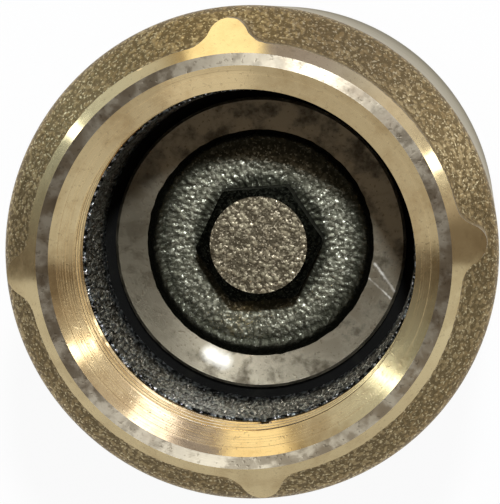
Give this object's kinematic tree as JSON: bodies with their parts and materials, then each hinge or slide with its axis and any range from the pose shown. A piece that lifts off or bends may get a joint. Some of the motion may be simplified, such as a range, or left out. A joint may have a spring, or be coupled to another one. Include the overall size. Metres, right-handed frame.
{
  "type": "non-return valve",
  "caption": "In-line spring non-return valve: round brass body with threaded, four-lugged sockets, and a sprung poppet with a rubber ring that opens along the axis.",
  "frame": {"origin": "centre of the outlet end face, on which the valve stands", "axes": "+Z along the flow axis, from the outlet up to the inlet; +X and +Y through lugs of the inlet socket"},
  "size_m": [0.058, 0.058, 0.088],
  "materials": {
    "cast_brass": "rough cast and machined",
    "plate_brass": "rough cast with a turned rim",
    "guide_brass": "cast",
    "turned_brass": "turned",
    "seal_rubber": "matte",
    "spring_steel": "drawn wire"
  },
  "bodies": {
    "housing": {"inlet_body": "cast_brass", "outlet_cap": "cast_brass", "joint_ring": "seal_rubber", "stem_guide": "guide_brass", "return_spring": "spring_steel"},
    "poppet": {"clamp_plate": "plate_brass", "poppet_seal": "seal_rubber", "poppet_disc": "turned_brass"}
  },
  "joints": [
    {"name": "poppet_slide", "type": "slide", "parent": "housing", "child": "poppet", "axis": [0, 0, -1], "range_m": [0, 0.008], "stiffness_N_per_m": 370, "springref_m": -0.0108, "deforming": ["return_spring"]}
  ]
}
